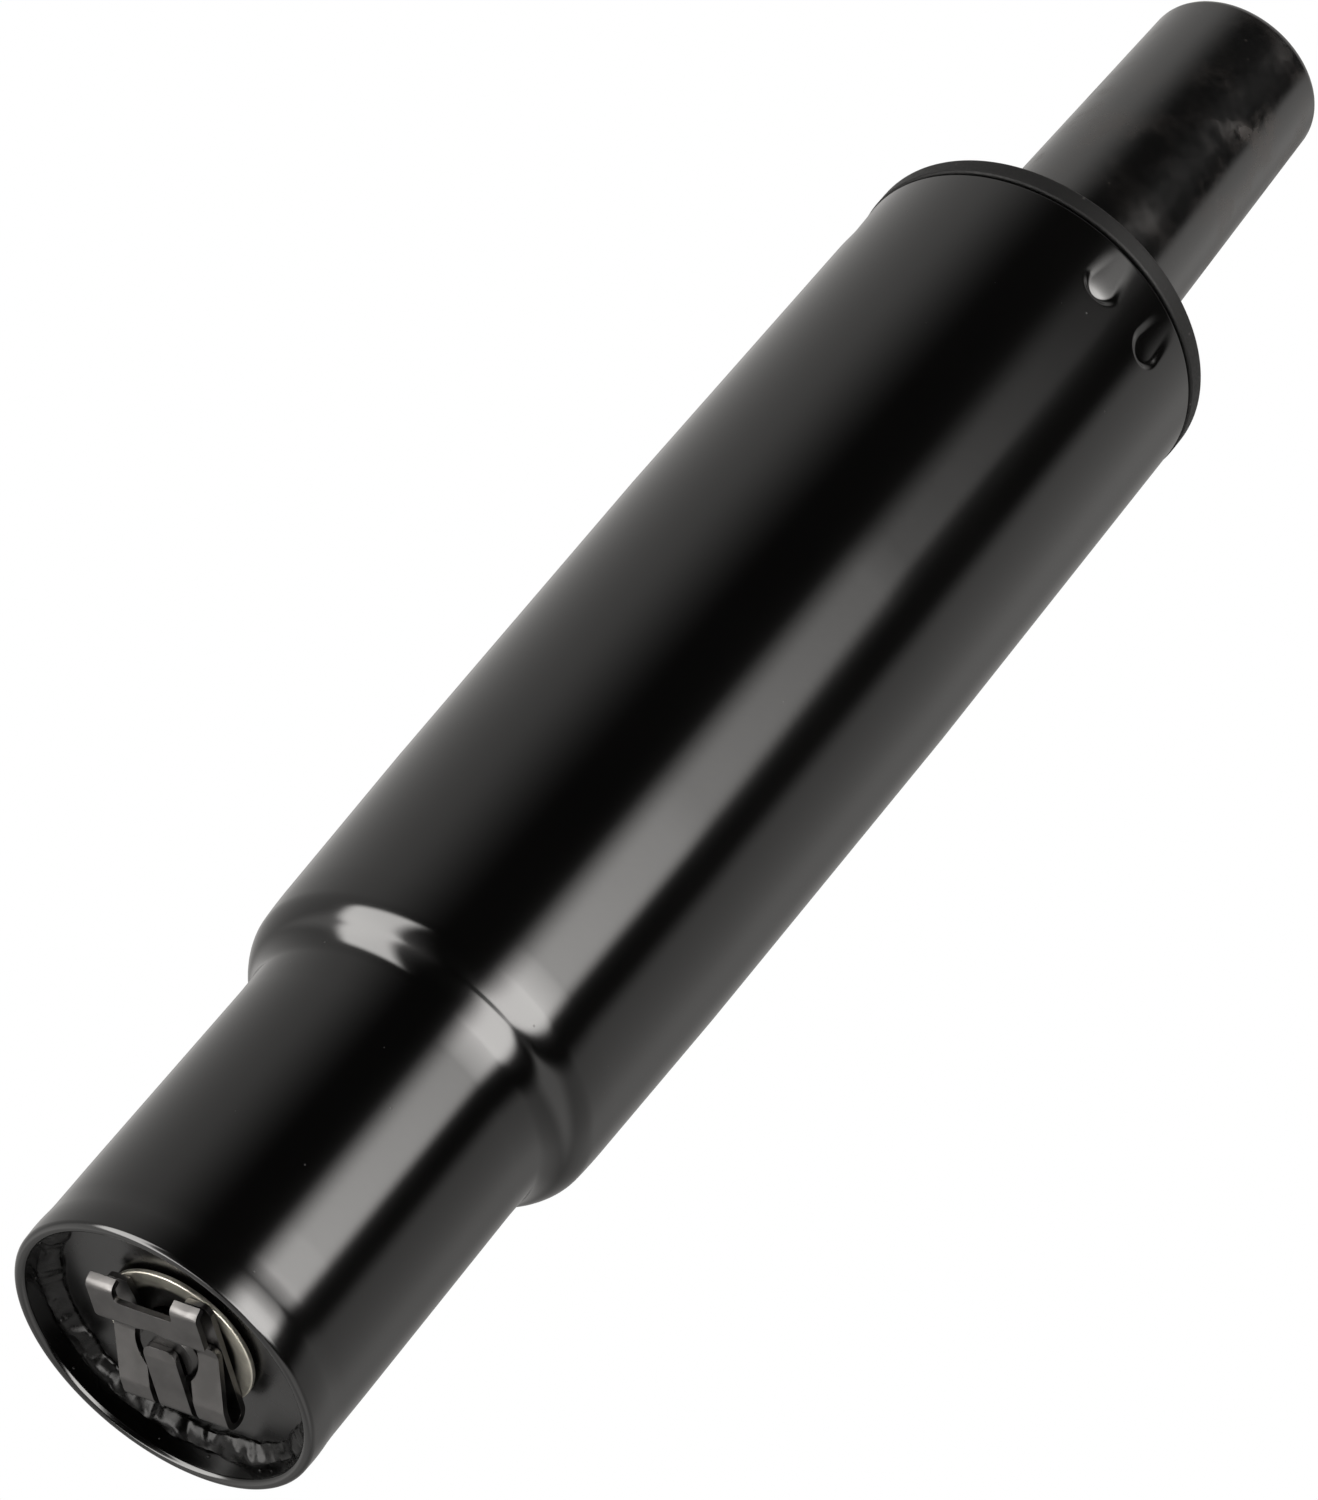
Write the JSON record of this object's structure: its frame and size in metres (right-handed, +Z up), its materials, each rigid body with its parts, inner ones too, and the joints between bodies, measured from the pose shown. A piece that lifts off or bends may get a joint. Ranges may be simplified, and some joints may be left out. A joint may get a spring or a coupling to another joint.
{
  "type": "chair gas lift cylinder",
  "caption": "Gas lift of an office chair: stepped outer column with a taper for the base, and a lift tube with a seat cone and release button.",
  "frame": {"origin": "centre of the rim that the column stands on", "axes": "+Z up the column's axis towards the release button; X and Y are square to it"},
  "size_m": [0.0502, 0.0502, 0.263],
  "materials": {
    "column_paint": "satin gloss black",
    "plate_paint": "uneven black paint",
    "weld_paint": "glossy black paint over a rough weld",
    "collar_plastic": "moulded black",
    "lift_tube_paint": "satin black",
    "bearing_steel": "ground",
    "cage_plastic": "moulded nylon",
    "rod_steel": "ground",
    "clip_steel": "dark spring steel",
    "washer_zinc": "zinc plated",
    "bumper_rubber": "matte",
    "seal_rubber": "oiled",
    "piston_aluminium": "turned",
    "guide_plastic": "low friction",
    "inner_steel": "drawn",
    "button_steel": "zinc plated"
  },
  "bodies": {
    "column": {"column_tube": "column_paint", "base_plate": "plate_paint", "weld_bead": "weld_paint", "guide_bush": "collar_plastic", "lower_race": "bearing_steel"},
    "rod": {"piston_rod": "rod_steel", "retaining_clip": "clip_steel", "clip_washer": "washer_zinc", "upper_race": "bearing_steel", "thrust_washer": "bearing_steel", "rubber_bumper": "bumper_rubber", "piston_body": "piston_aluminium", "piston_seal": "seal_rubber", "piston_guide_ring": "guide_plastic", "piston_washer": "inner_steel"},
    "cage": {"ball_cage": "cage_plastic", "bearing_balls": "bearing_steel"},
    "gas_spring": {"pressure_tube": "lift_tube_paint", "seal_support_washer": "inner_steel", "rod_seal": "seal_rubber", "rod_guide": "piston_aluminium", "inner_cylinder": "inner_steel", "valve_body": "piston_aluminium", "valve_seals": "seal_rubber", "spacer_sleeve": "guide_plastic", "top_plug": "inner_steel"},
    "release": {"release_pin": "button_steel", "release_button": "button_steel"}
  },
  "joints": [
    {"name": "swivel", "type": "hinge", "parent": "column", "child": "rod", "pos_m": [0, 0, 0.01255], "axis": [0, 0, 1], "continuous": true},
    {"name": "cage_spin", "type": "hinge", "parent": "column", "child": "cage", "pos_m": [0, 0, 0.01255], "axis": [0, 0, 1], "continuous": true},
    {"name": "lift", "type": "slide", "parent": "rod", "child": "gas_spring", "axis": [0, 0, 1], "range_m": [0, 0.1]},
    {"name": "release", "type": "slide", "parent": "gas_spring", "child": "release", "axis": [0, 0, -1], "range_m": [0, 0.003], "stiffness_N_per_m": 4000, "springref_m": -0.005}
  ],
  "couplings": [
    {"joint": "cage_spin", "follows": "swivel", "ratio": 0.5}
  ]
}
